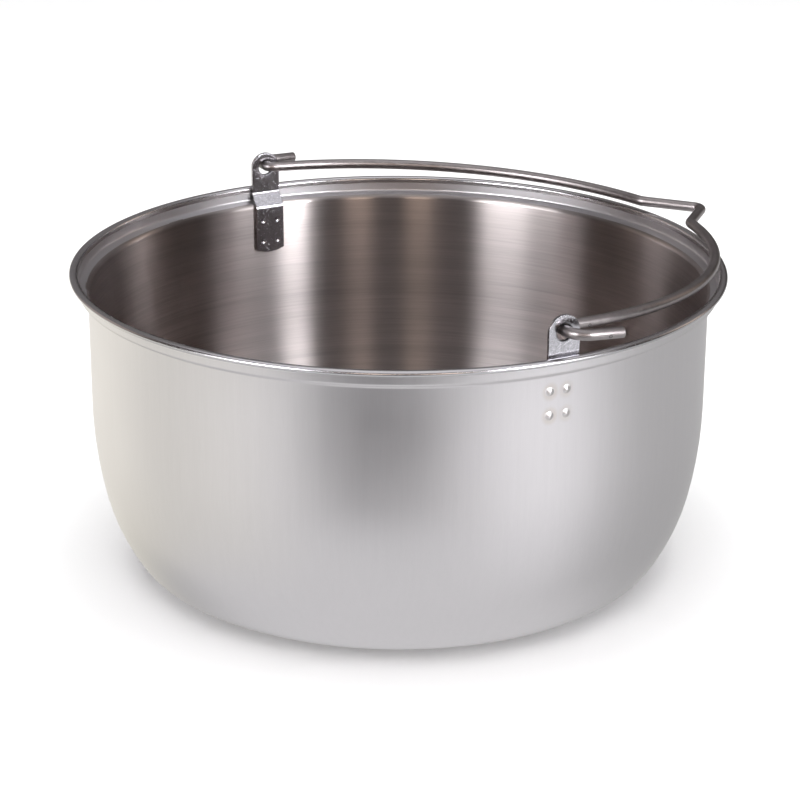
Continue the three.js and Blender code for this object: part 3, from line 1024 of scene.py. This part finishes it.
def add_camera():
    """The photograph's camera, as fitted to the picture."""
    camera = bpy.data.cameras.new("camera")
    camera.lens = CAMERA_LENS
    camera.sensor_width = 36
    camera.clip_start, camera.clip_end = 0.05, 50
    obj = bpy.data.objects.new("camera", camera)
    bpy.context.scene.collection.objects.link(obj)
    turn = Matrix.Rotation(VIEW_TURN, 4, "Z")
    place = turn @ Vector(CAMERA_PLACE)
    aim = turn @ Vector(CAMERA_AIM)
    look = (aim - place).to_track_quat("-Z", "Y").to_matrix().to_4x4()
    roll = Matrix.Rotation(CAMERA_ROLL, 4, "Z")
    obj.matrix_world = Matrix.Translation(place) @ look @ roll
    bpy.context.scene.camera = obj


def add_card():
    """A soft-edged dark card on the table before the pot, seen only in the metal's shine."""
    deselect()
    bpy.ops.mesh.primitive_plane_add(size=2)
    card = bpy.context.active_object
    card.name = "dark_card"
    turn = Matrix.Rotation(VIEW_TURN, 4, "Z")
    stretch = Matrix.Diagonal((*CARD_SIZE, 1, 1))
    card.matrix_world = turn @ Matrix.Translation(CARD_PLACE) @ stretch
    material = bpy.data.materials.new("dark_card")
    material.use_nodes = True
    n = Nodes(material.node_tree)
    middle = n.add("ShaderNodeTexCoord").outputs["Object"]
    away = n.length(middle)
    mask = n.between(away, CARD_FULL_TO, 1.0, 1.0, 0.0, smooth=True)
    clear = n.add("ShaderNodeBsdfTransparent").outputs[0]
    dark = n.add("ShaderNodeEmission", {"Color": CARD_COLOUR}).outputs[0]
    both = n.add("ShaderNodeMixShader", {0: mask, 1: clear, 2: dark}).outputs[0]
    output = material.node_tree.nodes["Material Output"]
    material.node_tree.links.new(both, output.inputs["Surface"])
    card.data.materials.append(material)
    card.visible_camera = card.visible_diffuse = card.visible_shadow = False
    card.visible_transmission = card.visible_volume_scatter = False


# ------------------------------------------------------------------ assembly

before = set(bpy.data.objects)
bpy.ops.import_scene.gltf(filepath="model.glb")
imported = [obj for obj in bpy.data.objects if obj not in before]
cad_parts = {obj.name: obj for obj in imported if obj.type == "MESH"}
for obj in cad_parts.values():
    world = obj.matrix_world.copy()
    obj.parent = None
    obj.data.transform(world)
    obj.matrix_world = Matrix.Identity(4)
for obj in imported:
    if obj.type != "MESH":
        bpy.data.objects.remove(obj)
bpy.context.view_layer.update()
deselect()

grain = grain_group()
handling = handling_group()
satin = outside_steel(grain, handling)
brushed = inside_steel(grain, handling)
turned = rim_steel(grain, handling)
stamped = stamped_steel(grain, handling)
welded = weld_steel()
drawn = wire_steel(handling)

shell = make_shell(brushed, satin, turned)
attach(shell, "pot")
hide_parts("pot_body")

ear_rear = make_ear()
finish_with(ear_rear, stamped)
ear_front = copied(ear_rear, "ear_front", TO_THE_FRONT)
for ear, node in ((ear_rear, "bail_ear_rear"), (ear_front, "bail_ear_front")):
    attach(ear, "pot")
    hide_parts(node)

pattern = make_weld_bump()
finish_with(pattern, welded)
for number, (x, z) in enumerate(weld_places(), start=1):
    rear = copied(pattern, f"weld_rear_{number}", Matrix.Translation((x, 0, z)))
    front = copied(rear, f"weld_front_{number}", TO_THE_FRONT)
    for weld, side in ((rear, "rear"), (front, "front")):
        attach(weld, "pot")
        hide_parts(f"spot_weld_{side}_{number}")
bpy.data.objects.remove(pattern)

bail = make_bail()
finish_with(bail, drawn)
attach(bail, "bail")
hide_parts("bail")

add_floor()
add_world()
add_camera()
add_card()
add_overhead()
